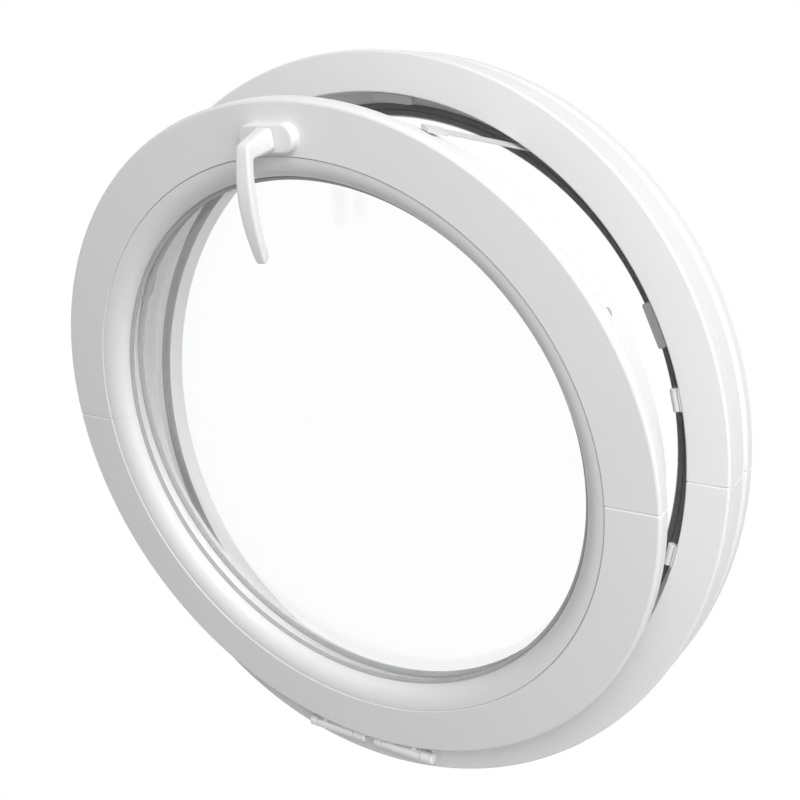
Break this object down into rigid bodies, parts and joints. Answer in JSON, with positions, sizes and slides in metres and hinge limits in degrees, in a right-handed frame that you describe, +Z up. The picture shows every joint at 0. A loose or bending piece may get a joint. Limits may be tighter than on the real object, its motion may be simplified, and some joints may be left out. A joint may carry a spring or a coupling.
{
  "type": "porthole window",
  "caption": "Round white tilt window: ring frame for a wall opening and a bottom-hung double-glazed sash with lever handle, curved locking drive and stay arm.",
  "frame": {"origin": "on the ring's axis, at the middle of the plain band of the frame's outer wall", "axes": "+Z up, +Y through the wall to the outside, +X to the right seen from the room"},
  "size_m": [0.8, 0.2496, 0.8],
  "materials": {
    "white_pvc": "satin white welded profile",
    "dark_rubber": "soft matte",
    "grey_rubber": "soft matte",
    "clear_glass": "clear float glass",
    "spacer_metal": "matte drawn bar",
    "zinc_steel": "bright zinc",
    "grey_casting": "die-cast grey",
    "white_lacquer": "smooth white lacquer",
    "white_nylon": "moulded",
    "grey_lacquer": "light grey lacquer",
    "block_plastic": "moulded"
  },
  "bodies": {
    "frame": {"frame_ring": "white_pvc", "frame_seal": "dark_rubber", "keep_right": "grey_casting", "keep_top": "grey_casting", "keep_left": "grey_casting", "keep_screws": "zinc_steel", "guide_buffers_right": "white_nylon", "guide_buffers_left": "white_nylon", "stay_pin": "zinc_steel", "hinge_left_knuckles": "white_lacquer", "hinge_left_pin": "zinc_steel", "hinge_left_cap": "white_lacquer", "hinge_right_knuckles": "white_lacquer", "hinge_right_pin": "zinc_steel", "hinge_right_cap": "white_lacquer"},
    "sash": {"sash_ring": "white_pvc", "sash_seal": "grey_rubber", "bead_upper": "white_pvc", "bead_lower": "white_pvc", "pane_inner": "clear_glass", "pane_outer": "clear_glass", "spacer_bar": "spacer_metal", "edge_sealant": "dark_rubber", "gasket_inner": "grey_rubber", "gasket_outer": "grey_rubber", "setting_blocks": "block_plastic", "hinge_left_barrel": "white_lacquer", "hinge_right_barrel": "white_lacquer", "faceplate": "zinc_steel", "faceplate_screws": "zinc_steel", "gearbox_case": "grey_casting", "handle_base": "grey_casting", "handle_cover": "white_lacquer", "handle_screws": "zinc_steel"},
    "handle": {"handle_lever": "white_lacquer", "handle_spindle": "zinc_steel", "pinion": "zinc_steel"},
    "drive": {"drive_rod": "zinc_steel", "locking_cams": "zinc_steel"},
    "stay": {"stay_arm": "grey_lacquer", "stay_shoe": "white_nylon"}
  },
  "joints": [
    {"name": "sash_tilt", "type": "hinge", "parent": "frame", "child": "sash", "pos_m": [0, -0.0375, -0.373], "axis": [1, 0, 0], "range_deg": [-9.41, 0]},
    {"name": "handle_turn", "type": "hinge", "parent": "sash", "child": "handle", "pos_m": [0, -0.16082, 0.31915], "axis": [0, 0.9865, 0.1635], "range_deg": [0, 90]},
    {"name": "drive_slide", "type": "hinge", "parent": "sash", "child": "drive", "pos_m": [0, -0.10687, -0.00641], "axis": [0, 0.9865, 0.1635], "range_deg": [0, 2.76]},
    {"name": "stay_swing", "type": "hinge", "parent": "frame", "child": "stay", "pos_m": [0.1976, 0.011, 0.29678], "axis": [0.3875, 0, 0.9219], "range_deg": [-58.8, 0]}
  ],
  "couplings": [
    {"joint": "drive_slide", "follows": "handle_turn", "ratio": 0.030695},
    {"joint": "stay_swing", "follows": "sash_tilt", "ratio": 6.2421}
  ]
}
